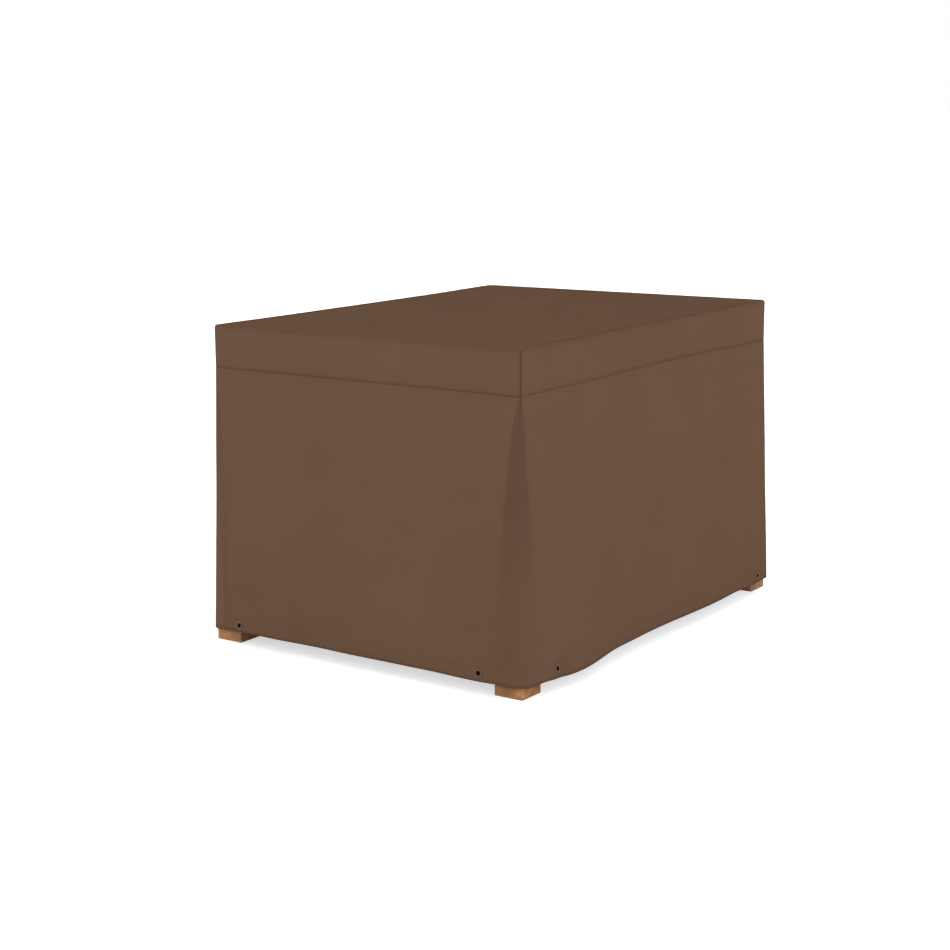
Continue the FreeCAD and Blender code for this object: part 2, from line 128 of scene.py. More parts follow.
# Centre, outward direction and bore radius of each eyelet.
EYELETS = [(Vector(mount["pos_m"]), Vector(mount["axis"]), mount["dims"]["r_mm"] / 1000)
           for mount in frame["record"]["mounts"] if mount["kind"] == "bore"]
EYELET_WALL = 0.0006     # thickness of an eyelet's barrel
HOLE_SIDES = 32
HOLE_NEAR = 0.03         # the cloth's points within this of an eyelet show where the cloth is
HOLE_MARGIN = 0.0025     # how far round the hole the faces are made again

CORNERS = ["front_right", "back_right", "back_left", "front_left"]
CORNER_SIGNS = [(1, -1), (1, 1), (-1, 1), (-1, -1)]
SIDES = ["front", "right", "back", "left"]

# Soft folds in the skirt, each beside a corner: how far along the hem it is from the corner, to
# the right seen from outside, how wide it is on its left and on its right, how high it starts,
# and how far it stands out at the hem. Each dies away round an eyelet, which holds the cloth flat.
FOLDS = [
    ("front_right", 0.235, 0.165, 0.225, 0.62, 0.0175),
    ("front_right", -0.660, 0.170, 0.140, 0.30, -0.0045),
    ("front_right", 0.620, 0.180, 0.200, 0.40, -0.0030),
    ("back_right", -0.430, 0.260, 0.200, 0.45, 0.0060),
    ("back_right", 0.000, 0.100, 0.100, 0.50, -0.0030),
    ("back_right", 0.300, 0.170, 0.240, 0.50, 0.0140),
    ("back_right", 0.600, 0.200, 0.200, 0.40, -0.0060),
    ("back_left", -0.330, 0.200, 0.190, 0.50, 0.0120),
    ("back_left", 0.330, 0.190, 0.240, 0.60, 0.0180),
    ("back_left", 0.680, 0.220, 0.260, 0.45, -0.0080),
    ("front_left", -0.300, 0.220, 0.180, 0.50, 0.0120),
]
FOLD_GROWTH = 1.5        # power by which a fold grows from its start down to the hem
# Where the hem hangs low, in the same way, and how low.
DIPS = [
    ("front_right", -0.130, 0.160, 0.100, 0.0028),
    ("front_right", 0.008, 0.085, 0.068, 0.0092),
    ("front_right", 0.150, 0.130, 0.290, 0.0068),
    ("back_right", -0.170, 0.120, 0.110, 0.0030),
    ("back_right", 0.000, 0.090, 0.090, 0.0090),
    ("back_left", -0.200, 0.160, 0.160, 0.0040),
    ("front_left", 0.000, 0.090, 0.080, 0.0090),
    ("front_left", 0.140, 0.120, 0.160, -0.0012),
]
DIP_START = 0.40         # height at which the low places begin
DIP_GROWTH = 2           # power by which they grow down to the hem
CALM_INNER = 0.014       # the cloth lies flat this far round an eyelet's centre
CALM_OUTER = 0.045       # and moves freely from this far

# The seam under the band isn't quite level: it sags on the left of the front right corner, and
# rises on the right of it. Places are distances along the hem from that corner.
SAG = 0.0018
SAG_PLACE = -0.11
SAG_WIDTH = 0.09
LIFT = 0.0055
LIFT_START = 0.25
LIFT_FULL = 0.86
LIFT_END = 1.25
SEAM_SHIFT_REACH = 0.05  # how far above and below the seam the cloth goes with it

# The rim isn't quite level either. Places are shares of half the top's length or width.
BACK_RISE = 0.0028       # how far the slack cloth along the back lies proud
BACK_TILT = 0.0012       # how much more it does so at the right, and less at the left
BACK_START = 0.25
LEFT_DROP = 0.0013       # how far the left edge is drawn down
LEFT_START = 0.7
LEFT_FADE = 0.5


# ---- the ring that the band and the skirt share ----

def corner_turns():
    """Angles round a corner, close together beside the seam at its middle. The last angle, 90
    degrees, is left out because the next side starts with it."""
    half = [0.0, 0.4, 0.8, 1.5, 2.5, 4.0, 6.0, 8.5, 11.5, 15.0, 19.0, 24.0, 30.0, 37.0, 45.0]
    turns = [45 - step for step in reversed(half)] + [45 + step for step in half[1:-1]]
    return [math.radians(turn) for turn in turns]


def ring_columns():
    """Columns round the cover: the signs of the corners before and after each, how far it is from
    one to the other, and the direction it faces. They start at the front's left end."""
    before, after, share, facing = [], [], [], []
    for side in range(len(SIDES)):
        start = CORNER_SIGNS[side - 1]
        end = CORNER_SIGNS[side]
        length = 2 * (HALF_X if side % 2 == 0 else HALF_Y)
        count = round(length / SPACING)
        normal = math.radians(90 * side - 90)
        for index in range(count):
            before.append(start)
            after.append(end)
            share.append(index / count)
            facing.append(normal)
        for turn in corner_turns():
            before.append(start)
            after.append(end)
            share.append(1.0)
            facing.append(normal + turn)
    return np.array(before), np.array(after), np.array(share), np.array(facing)


BEFORE, AFTER, SHARE, FACING = ring_columns()
OUTWARD = np.stack([np.cos(FACING), np.sin(FACING)], axis=1)
PLACE = (1 - SHARE)[:, None] * BEFORE + SHARE[:, None] * AFTER


def flare_share(height):
    """0 down to the seam under the band, then growing to 1 at the hem."""
    return np.clip((SEAM_Z - height) / (SEAM_Z - HEM_Z), 0, 1)


def ease(value, start, end):
    """0 before the start, 1 after the end, and smooth between."""
    share = np.clip((value - start) / (end - start), 0, 1)
    return share * share * (3 - 2 * share)


def corner_radius(share):
    return TOP_RADIUS + (HEM_RADIUS - TOP_RADIUS) * share


def corner_shape(share):
    """How flat each column's corner is and how far it leans. A corner is pulled towards a flat
    cone under the seam, and is round and even at the hem."""
    corner = ((FACING + QUARTER_TURN + TINY) // QUARTER_TURN).astype(int) % len(CORNERS)
    rise = ease(share, 0.0, CONE_FULL)
    flatness = FLATTEST[corner] * rise * (1 - ease(share, CONE_FADE, CONE_END))
    return flatness, LEANS[corner] * rise * (1 - share)


def plain_ring(height):
    """The ring at one height before it is draped, as (x, y) for each column. Each corner is between
    a quarter of an ellipse, which is wider on one side of it if it leans, and its chord."""
    share = flare_share(height)
    radius = corner_radius(share)
    flatness, lean = corner_shape(share)
    quarter = (FACING + TINY) // QUARTER_TURN * QUARTER_TURN
    part = ((FACING + TINY) % QUARTER_TURN / QUARTER_TURN)[:, None]
    start = np.column_stack([np.cos(quarter), np.sin(quarter)])
    end = np.column_stack([-np.sin(quarter), np.cos(quarter)])
    bend = (1 - flatness[:, None]) * OUTWARD + flatness[:, None] * ((1 - part) * start + part * end)
    across = abs(end) * (radius * (1 + lean))[:, None] + abs(start) * (radius * (1 - lean))[:, None]
    half = np.column_stack([HALF_X + FLARE * share, HALF_Y + FLARE * share])
    return PLACE * (half - across) + bend * across


def ring_lengths():
    """How far each column is along the hem, where each corner's middle is, and the whole way round."""
    hem = plain_ring(HEM_Z)
    steps = np.linalg.norm(np.roll(hem, -1, axis=0) - hem, axis=1)
    along = np.concatenate([[0], np.cumsum(steps)[:-1]])
    middles = {}
    for corner, name in enumerate(CORNERS):
        direction = math.radians(90 * corner - 45)
        middles[name] = along[np.argmin(np.abs(FACING - direction))]
    return along, middles, steps.sum()


ALONG, CORNER_ALONG, HEM_LENGTH = ring_lengths()


def shorter_way(distance):
    """A distance along the hem taken the shorter way round, and negative to the left."""
    return (distance + HEM_LENGTH / 2) % HEM_LENGTH - HEM_LENGTH / 2


def from_corner(along, corner, offset=0.0):
    """Distance along the hem from a place beside a corner."""
    return shorter_way(along - CORNER_ALONG[corner] - offset)


def bump(along, corner, offset, left, right):
    """A smooth bump of height 1 beside a corner, with its own width on each side."""
    distance = from_corner(along, corner, offset)
    width = np.where(distance < 0, left, right)
    return 0.5 + 0.5 * np.cos(np.pi * np.clip(distance / width, -1, 1))


def calm(along, height):
    """0 at an eyelet, whose flange holds the cloth flat, and 1 away from them all."""
    distance = np.full(along.shape, FAR)
    for centre, _, _ in EYELETS:
        nearest = np.argmin(np.linalg.norm(plain_ring(centre.z) - np.array(centre.xy), axis=1))
        side = shorter_way(along - ALONG[nearest])
        distance = np.minimum(distance, np.hypot(side, height - centre.z))
    return ease(distance, CALM_INNER, CALM_OUTER)


def drape(along, height):
    """How far the cloth stands out from its plain shape at places along the hem and a height."""
    total = np.zeros_like(along)
    for corner, offset, left, right, start, out in FOLDS:
        rise = np.clip((start - height) / (start - HEM_Z), 0, 1) ** FOLD_GROWTH
        total = total + out * bump(along, corner, offset, left, right) * rise
    return total


def hem_dip(along, height):
    """How far the cloth hangs below its plain height."""
    total = np.zeros_like(along)
    for corner, offset, left, right, depth in DIPS:
        total = total + depth * bump(along, corner, offset, left, right)
    return total * np.clip((DIP_START - height) / (DIP_START - HEM_Z), 0, 1) ** DIP_GROWTH


def seam_height(along):
    """How far the seam under the band is above its plain height."""
    distance = from_corner(along, "front_right")
    sag = -SAG * np.exp(-((distance - SAG_PLACE) / SAG_WIDTH) ** 2)
    lift = LIFT * ease(distance, LIFT_START, LIFT_FULL) * (1 - ease(distance, LIFT_FULL, LIFT_END))
    return sag + lift


def rim_rise(x, y):
    """How far the rim and the top are above their plain height."""
    back = ease(y, BACK_START * HALF_Y, HALF_Y) * (BACK_RISE + BACK_TILT * x / HALF_X)
    left = ease(-x, LEFT_START * HALF_X, HALF_X) * (1 - ease(abs(y), LEFT_FADE * HALF_Y, HALF_Y))
    return back - LEFT_DROP * left


def corner_dip():
    """How far each column of the rim dips where three seams meet at a corner of the top."""
    return CORNER_DIP * np.sin(2 * FACING) ** 2


def roll_in(distance, radius):
    """How far an edge has rolled in at a distance from the seam it rolls into."""
    reach = np.clip(radius - distance, 0, radius)
    return radius - np.sqrt(np.maximum(radius ** 2 - reach ** 2, 0))


def corner_seam_distance(height):
    """Distance from the nearest corner's seam, round the ring."""
    turn = (FACING - QUARTER_TURN / 2) % QUARTER_TURN
    off = np.minimum(turn, QUARTER_TURN - turn)
    on_corner = FACING % QUARTER_TURN > TINY
    return np.where(on_corner, off * corner_radius(flare_share(height)), FAR)


def waviness(points, per_metre, seed):
    """Smooth noise between about -1 and 1 at each point."""
    shift = Vector([seed * step for step in SEED_STEPS])
    return np.array([noise.noise(Vector(point) * per_metre + shift) for point in points])


def puckers(points, distance, seed):
    """Small ripples along a seam, which die out at it and away from it."""
    near = np.exp(-distance / PUCKER_REACH) * ease(distance, 0, PUCKER_START)
    return PUCKER * near * waviness(points, 1 / PUCKER_LENGTH, seed)


# ---- meshes ----

def new_object(name, vertices, faces, weave, seam):
    """A mesh object with its weave coordinates, in metres, and how near each point is to a seam."""
    mesh = bpy.data.meshes.new(name)
    mesh.from_pydata([tuple(vertex) for vertex in vertices], [], faces)
    mesh.update()
    corner_vertices = np.zeros(len(mesh.loops), dtype=np.int32)
    mesh.loops.foreach_get("vertex_index", corner_vertices)
    layer = mesh.uv_layers.new(name="weave")
    layer.data.foreach_set("uv", np.asarray(weave, dtype=np.float32)[corner_vertices].ravel())
    # The seam value sets how far dust and painted shade darken the cloth beside seams and the hem's fold.
    attribute = mesh.attributes.new("seam", "FLOAT", "POINT")
    attribute.data.foreach_set("value", np.asarray(seam, dtype=np.float32))
    mesh.shade_smooth()
    thing = bpy.data.objects.new(name, mesh)
    bpy.context.scene.collection.objects.link(thing)
    return thing


def ring_faces(rows, columns):
    """Quads between closed rings of points, listed from the highest ring down, facing outwards."""
    faces = []
    for row in range(rows - 1):
        for column in range(columns):
            following = (column + 1) % columns
            upper = row * columns
            lower = upper + columns
            faces.append((upper + column, lower + column, lower + following, upper + following))
    return faces


def thicken(thing):
    """Give a sheet the cloth's thickness, on its inner side."""
    solidify = thing.modifiers.new("thickness", "SOLIDIFY")
    solidify.thickness = FABRIC
    solidify.offset = -1
    solidify.use_even_offset = False


def heights_between(high, low):
    """Heights from high down to low, both left out, about one spacing apart."""
    count = max(1, round((high - low) / SPACING))
    return [high + (low - high) * step / count for step in range(1, count)]


# Each of these profiles lists (height, inset, distance from the nearest level seam). The steps are
# the degrees that an edge has turned by at each of its points.

ROLL_STEPS = [0, 25, 50, 75, 90]
TOP_STEPS = [0, 25, 50, 75, 100, 120, 135]
HEM_STEPS = [0, 25, 50, 70, 90]


def seam_below(height):
    """An edge that rolls in at a seam under it, from above the seam down to it."""
    rows = []
    for degrees in ROLL_STEPS:
        turn = math.radians(degrees)
        rows.append((height + ROLL - ROLL * math.sin(turn), ROLL - ROLL * math.cos(turn)))
    return [(z, inset, z - height) for z, inset in rows]


def seam_above(height):
    """An edge that rolls in at a seam over it, from the seam down."""
    return [(2 * height - z, inset, distance) for z, inset, distance in reversed(seam_below(height))]


def top_edge_roll():
    """The last of an edge at the cover's square upper rim, as (distance in from the other face,
    depth under its own face). Two such edges turn 135 degrees and meet in a groove on the rim."""
    start = (1 + math.sqrt(2)) * ROLL
    steps = []
    for degrees in TOP_STEPS:
        turn = math.radians(degrees)
        steps.append((start - ROLL * math.sin(turn), ROLL - ROLL * math.cos(turn)))
    return steps


def hem_fold(steps):
    """The hem's rounded fold, at steps from 0 degrees on the skirt's face to 180 on the facing's."""
    rows = []
    for degrees in steps:
        turn = math.radians(degrees)
        height = HEM_Z + HEM_ROLL - HEM_ROLL * math.sin(turn)
        rows.append((height, HEM_ROLL - HEM_ROLL * math.cos(turn), FAR))
    return rows


def band_profile():
    """From the rim of the top down to the seam under the band."""
    rim = [(TOP_Z - inward, depth, inward) for inward, depth in reversed(top_edge_roll())]
    low = SEAM_Z + SEAM_FLAT
    middle = [(z, 0.0, min(TOP_Z - z, z - SEAM_Z)) for z in heights_between(rim[-1][0], low)]
    return rim + middle + [(low, 0.0, low - SEAM_Z)] + seam_below(SEAM_Z)


def skirt_profile():
    """From that seam down to the hem's fold."""
    high = SEAM_Z - SEAM_FLAT
    middle = [(z, 0.0, SEAM_Z - z) for z in [high] + heights_between(high, HEM_Z + HEM_ROLL)]
    return seam_above(SEAM_Z) + middle + hem_fold(HEM_STEPS)


def facing_profile():
    """The hem turned up inside the skirt, from its upper edge down to the hem's fold."""
    heights = [FACING_Z - HEM_EDGE] + heights_between(FACING_Z, HEM_Z + HEM_ROLL)
    rows = [(FACING_Z, EDGE_INSET, FAR)] + [(z, 2 * HEM_ROLL, FAR) for z in heights]
    return rows + hem_fold([180 - degrees for degrees in HEM_STEPS])


def ring_surface(profile):
    """Points of a draped ring of cloth, its weave coordinates and how near each is to a seam."""
    points, weave, seam = [], [], []
    for height, inset, level_distance in profile:
        share = float(flare_share(height))
        upright = 1 - min(1.0, share / UPRIGHT_END)
        lowered = height - hem_dip(ALONG, height)
        plain = plain_ring(lowered)
        corner_distance = corner_seam_distance(height)
        level = np.column_stack([plain, lowered])
        waves = WAVE * share * waviness(level, WAVES_PER_METRE, SEEDS["ring_waves"])
        seam_distance = np.minimum(corner_distance, level_distance)
        free = drape(ALONG, height) + waves + puckers(level, seam_distance, SEEDS["ring_puckers"])
        out = free * calm(ALONG, lowered) - inset - roll_in(corner_distance, CORNER_ROLL * upright)
        spot = plain + OUTWARD * out[:, None]
        shift = seam_height(ALONG) * np.exp(-abs(height - SEAM_Z) / SEAM_SHIFT_REACH) + lowered - height
        if height > SEAM_Z:
            up = (height - SEAM_Z) / (TOP_Z - SEAM_Z)
            shift = shift + up * rim_rise(plain[:, 0], plain[:, 1]) - corner_dip() * up ** CORNER_DIP_POWER
        points.append(np.column_stack([spot, height + shift]))
        weave.append(np.column_stack([ALONG, np.full(len(plain), height)]))
        # Dust and painted shade beside the corner seams, the level seams and the hem's fold.
        upright_shade = upright * np.exp(-corner_distance / SEAM_SHADE_REACH)
        level_shade = max(math.exp(-level_distance / SEAM_SHADE_REACH),
                          HEM_SHADE * math.exp(-abs(height - HEM_Z) / SEAM_SHADE_REACH))
        seam.append(np.maximum(upright_shade, level_shade))
    return points, weave, seam


def ring_sheet(name, profile):
    points, weave, seam = ring_surface(profile)
    faces = ring_faces(len(profile), len(ALONG))
    return new_object(name, np.concatenate(points), faces, np.concatenate(weave), np.concatenate(seam))


def top_rings():
    """Rings of points that roll over at the top's rim, and how near each point is to a seam."""
    rim = [(inward, depth) for inward, depth in reversed(top_edge_roll())]
    inner = [(inward, 0.0) for inward in (*TOP_INSETS, TOP_RADIUS)]
    centre = np.array([HALF_X - TOP_RADIUS, HALF_Y - TOP_RADIUS])
    points, seam = [], []
    for inward, depth in rim + inner:
        ring = PLACE * centre + OUTWARD * (TOP_RADIUS - inward)
        height = TOP_Z - depth - corner_dip() * (1 - ease(inward, 0.0, CORNER_DIP_REACH))
        points.append(np.column_stack([ring, height]))
        seam.append(np.full(len(ring), math.exp(-inward / SEAM_SHADE_REACH)))
    return points, seam


def top_grid(vertices, last_ring):
    """Fill the last ring, whose points start at last_ring, with a flat grid. Its inner points are
    added to the vertices, and its faces are returned."""
    across = round(2 * HALF_X / SPACING)
    deep = round(2 * HALF_Y / SPACING)
    grid = {}
    for column, (x_sign, y_sign) in enumerate(PLACE):
        step = (round((x_sign + 1) / 2 * across), round((y_sign + 1) / 2 * deep))
        grid.setdefault(step, last_ring + column)
    for x_step in range(1, across):
        for y_step in range(1, deep):
            x = (2 * x_step / across - 1) * (HALF_X - TOP_RADIUS)
            y = (2 * y_step / deep - 1) * (HALF_Y - TOP_RADIUS)
            grid[x_step, y_step] = len(vertices)
            vertices.append(np.array([x, y, TOP_Z]))
    faces = []
    for x_step in range(across):
        for y_step in range(deep):
            faces.append((grid[x_step, y_step], grid[x_step + 1, y_step],
                          grid[x_step + 1, y_step + 1], grid[x_step, y_step + 1]))
    return faces


def merge_points(thing):
    """Join points that are in the same place."""
    shape = bmesh.new()
    shape.from_mesh(thing.data)
    bmesh.ops.remove_doubles(shape, verts=shape.verts, dist=SAME_PLACE)
    shape.to_mesh(thing.data)
    shape.free()


def top_sheet():
    """The top panel: rings that roll over at the rim, round a flat grid that fills the middle."""
    points, seam = top_rings()
    vertices = list(np.concatenate(points))
    faces = ring_faces(len(points), len(ALONG))
    faces += top_grid(vertices, (len(points) - 1) * len(ALONG))
    vertices = np.array(vertices)
    near_seam = np.zeros(len(vertices))
    near_seam[:len(points) * len(ALONG)] = np.concatenate(seam)
    rim_distance = np.minimum(HALF_X - abs(vertices[:, 0]), HALF_Y - abs(vertices[:, 1]))
    settle = np.clip(rim_distance / SETTLE_REACH, 0, 1)
    vertices[:, 2] += rim_rise(vertices[:, 0], vertices[:, 1])
    vertices[:, 2] += TOP_WAVE * settle * waviness(vertices, TOP_WAVES_PER_METRE, SEEDS["top_waves"])
    vertices[:, 2] += puckers(vertices, rim_distance, SEEDS["top_puckers"])
    top = new_object("top_sheet", vertices, faces, vertices[:, :2], near_seam)
    merge_points(top)
    return top


# ---- eyelet holes ----

def punch_hole(shape, weave, centre, axis, radius):
    """Take out the faces round an eyelet, and fill the gap again up to a circle."""
    near = [v for v in shape.verts if (v.co - centre).length < HOLE_NEAR]
    height = sum((v.co - centre).dot(axis) for v in near) / len(near)
    middle = centre + axis * height
    doomed = {face for v in near if (v.co - middle).length < radius + HOLE_MARGIN for face in v.link_faces}
    origin = min(near, key=lambda v: (v.co - middle).length)
    origin_weave = origin.link_loops[0][weave].uv.copy()
    origin_place = origin.co.copy()
    rim = {edge for face in doomed for edge in face.edges
           if any(other not in doomed for other in edge.link_faces)}
    loose = {v for face in doomed for v in face.verts} - {v for edge in rim for v in edge.verts}
    bmesh.ops.delete(shape, geom=list(doomed), context="FACES_ONLY")
    bmesh.ops.delete(shape, geom=list(loose), context="VERTS")
    level = axis.cross(Vector((0, 0, 1))).normalized()
    up = level.cross(axis).normalized()
    circle = []
    for step in range(HOLE_SIDES):
        turn = 2 * math.pi * step / HOLE_SIDES
        circle.append(shape.verts.new(middle + radius * (math.cos(turn) * level + math.sin(turn) * up)))
    hoop = [shape.edges.new((circle[step - 1], circle[step])) for step in range(HOLE_SIDES)]
    filled = bmesh.ops.triangle_fill(shape, use_beauty=True, edges=list(rim) + hoop, normal=axis)
    for face in [item for item in filled["geom"] if isinstance(item, bmesh.types.BMFace)]:
        face.normal_update()
        if face.normal.dot(axis) < 0:
            face.normal_flip()
        face.smooth = True
        for loop in face.loops:
            move = loop.vert.co - origin_place
            loop[weave].uv = origin_weave + Vector((-move.dot(level), move.z))


def punch_holes(thing):
    """Round holes through a sheet for the eyelets' barrels."""
    shape = bmesh.new()
    shape.from_mesh(thing.data)
    weave = shape.loops.layers.uv.verify()
    for centre, axis, bore in EYELETS:
        punch_hole(shape, weave, centre, axis, bore + EYELET_WALL)
    shape.to_mesh(thing.data)
    shape.free()


# ---- stitches ----

def stitch_points(first, last, out):
    """Rings of points round one stitch, a small rounded bead that lies along the cloth."""
    direction = (last - first) / np.linalg.norm(last - first)
    across = np.cross(direction, out)
    points = []
    for place, width in STITCH_PROFILE:
        centre = (first + last) / 2 + direction * STITCH_LENGTH * place
        centre = centre + out * (STITCH_LIFT - STITCH_RADIUS * (1 - width))
        for side in range(STITCH_SIDES):
            turn = 2 * math.pi * side / STITCH_SIDES
            ring = math.cos(turn) * across + math.sin(turn) * out
            points.append(centre + STITCH_RADIUS * width * ring)
    return points


def stitch_faces(base):
    """The faces of one stitch, whose points start at base."""
    faces = []
    for row in range(len(STITCH_PROFILE) - 1):
        for side in range(STITCH_SIDES):
            one = base + row * STITCH_SIDES + side
            two = base + row * STITCH_SIDES + (side + 1) % STITCH_SIDES
            faces.append((one, one + STITCH_SIDES, two + STITCH_SIDES, two))
    last_ring = base + (len(STITCH_PROFILE) - 1) * STITCH_SIDES
    faces.append(tuple(base + side for side in range(STITCH_SIDES)))
    faces.append(tuple(last_ring + side for side in reversed(range(STITCH_SIDES))))
    return faces


def stitch_rows(name, paths):
    """Rows of stitches along paths of (points, outward directions)."""
    vertices, faces = [], []
    for points, normals in paths:
        steps = np.linalg.norm(np.diff(points, axis=0), axis=1)
        along = np.concatenate([[0], np.cumsum(steps)])
        count = int(along[-1] / STITCH_PITCH)
        for index in range(count):
            middle = (index + 0.5) * along[-1] / count
            ends = [middle - STITCH_LENGTH / 2, middle + STITCH_LENGTH / 2]
            first, last = [np.array([np.interp(end, along, points[:, axis]) for axis in range(3)])
                           for end in ends]
            out = np.array([np.interp(middle, along, normals[:, axis]) for axis in range(3)])
            faces += stitch_faces(len(vertices))
            vertices += stitch_points(first, last, out / np.linalg.norm(out))
    return new_object(name, vertices, faces, [(0.0, 0.0)] * len(vertices), [0.0] * len(vertices))


def level_row(height):
    """The draped ring's points and outward directions at one height, closed."""
    points, _, _ = ring_surface([(height, 0.0, min(abs(height - SEAM_Z), abs(TOP_Z - height)))])
    ring = points[0]
    normals = np.column_stack([OUTWARD, np.zeros(len(ring))])
    return np.vstack([ring, ring[:1]]), np.vstack([normals, normals[:1]])


# ---- materials ----

FABRIC_COLOUR = (0.1275, 0.0737, 0.0455)
THREAD_COLOUR = (0.110, 0.063, 0.039)
FOOT_PALE = (0.375, 0.187, 0.083)
FOOT_DARK = (0.180, 0.075, 0.030)
TIMBER_PALE = (0.330, 0.185, 0.098)
TIMBER_DARK = (0.190, 0.095, 0.046)
DOWEL_PALE = (0.480, 0.320, 0.180)
DOWEL_DARK = (0.330, 0.200, 0.105)
EYELET_COLOUR = (0.135, 0.088, 0.060)
ZINC_COLOUR = (0.560, 0.560, 0.540)
FLECK_DARK = (0.80, 0.76, 0.72)      # what a pore or a dark patch multiplies the timber's colour by
FLECK_PALE = (1.16, 1.14, 1.10)

WEAVE_PITCH = 0.0008     # from one thread of the cloth to the next
SEAM_SHADE_AND_DUST = 0.36         # how far the dust and painted shade beside a seam darken the cloth
GRAIN_STRETCH = 0.10     # scale of the grain's pattern along the timber, against 1 across it
DOWEL_SEED = 99
ARRIS = 0.004            # how far in from a timber's edges they are worn
ARRIS_WEAR = 0.75
RIM = 0.0006             # the same on an eyelet, whose worn edge is also a painted highlight
RIM_WEAR_AND_HIGHLIGHT = 0.7
# Painted shade on a foot, where the cover's hem or the floor closes it in:
NOOK_DISTANCE = 0.3      # how near other things have to be to close in a foot
NOOK = (0.30, 0.12)      # how open a foot's air is where it has no painted shade, and where its painted shade is darkest
NOOK_SHADE = 0.92
BORE_DISTANCE = 0.02     # the same for an eyelet's bore, for the painted shade in it
BORE = (0.80, 0.92)      # how open its air is where its painted shade is darkest, and where it has none and shines


class Nodes:
    """A material's node tree, with short ways to add and join its nodes."""

    def __init__(self, name):
        self.material = bpy.data.materials.new(name)
        self.material.use_nodes = True
        self.tree = self.material.node_tree
        self.shader = self.tree.nodes["Principled BSDF"]

    def add(self, kind, inputs=None, output=0, **settings):
        node = self.tree.nodes.new(kind)
        for key, value in settings.items():
            setattr(node, key, value)
        for key, value in (inputs or {}).items():
            self.put(node.inputs[key], value)
        return node.outputs[output]

    def put(self, socket, value):
        """Join a socket to another node's output, or set it to a number, a vector or a colour."""
        if isinstance(value, bpy.types.NodeSocket):
            self.tree.links.new(value, socket)
        elif socket.type == "RGBA":
            socket.default_value = (*value, 1.0)
        else:
            socket.default_value = value

    def place(self):
        """The object's own coordinates, in metres."""
        return self.add("ShaderNodeTexCoord", output="Object")

    def split(self, vector):
        """The X and Y of a vector."""
        node = self.tree.nodes.new("ShaderNodeSeparateXYZ")
        self.put(node.inputs[0], vector)
        return node.outputs[0], node.outputs[1]

    def math(self, operation, first, second=0.0):
        return self.add("ShaderNodeMath", {0: first, 1: second}, operation=operation)

    def noise(self, vector, scale, detail=3.0, roughness=0.5):
        inputs = {"Vector": vector, "Scale": scale, "Detail": detail, "Roughness": roughness}
        return self.add("ShaderNodeTexNoise", inputs)

    def remap(self, value, source=(0.0, 1.0), target=(0.0, 1.0)):
        """Turn a range of values into another range, and go no further at its ends."""
        inputs = {"Value": value, "From Min": source[0], "From Max": source[1],
                  "To Min": target[0], "To Max": target[1]}
        return self.add("ShaderNodeMapRange", inputs)

    def ramp(self, value, stops):
        """A colour ramp of (place, colour) stops."""
        node = self.tree.nodes.new("ShaderNodeValToRGB")
        self.put(node.inputs[0], value)
        elements = node.color_ramp.elements
        while len(elements) < len(stops):
            elements.new(0.5)
        for element, (place, colour) in zip(elements, stops):
            element.position = place
            element.color = (*colour, 1.0)
        return node.outputs[0]

    def mix(self, factor, first, second, blend="MIX"):
        node = self.tree.nodes.new("ShaderNodeMix")
        node.data_type = "RGBA"
        node.blend_type = blend
        self.put(node.inputs[0], factor)
        self.put(node.inputs[6], first)
        self.put(node.inputs[7], second)
        return node.outputs[2]

    def multiply(self, first, second):
        return self.mix(1.0, first, second, "MULTIPLY")

    def bump(self, height, distance, normal=None):
        inputs = {"Height": height, "Distance": distance, "Strength": 1.0}
        if normal is not None:
            inputs["Normal"] = normal
        return self.add("ShaderNodeBump", inputs)

    def edge_wear(self, radius):
        """About 1 along a solid's sharp edges and 0 elsewhere, from how far a rounded normal turns."""
        rounded = self.add("ShaderNodeBevel", {"Radius": radius}, samples=6)
        plain = self.add("ShaderNodeNewGeometry", output="Normal")
        inputs = {0: rounded, 1: plain}
        turned = self.add("ShaderNodeVectorMath", inputs, output="Value", operation="DOT_PRODUCT")
        return self.remap(turned, (0.99, 0.75))

    def open_air(self, distance, samples):
        """How open the air round a point is, out to a distance: 0 is closed in, and 1 is open."""
        return self.add("ShaderNodeAmbientOcclusion", {"Distance": distance}, output="AO", samples=samples)

    def finish(self, **inputs):
        for key, value in inputs.items():
            self.put(self.shader.inputs[key.replace("_", " ")], value)
        return self.material


def tinted(colour, factor):
    return tuple(channel * factor for channel in colour)


def grey(value):
    return (value, value, value)


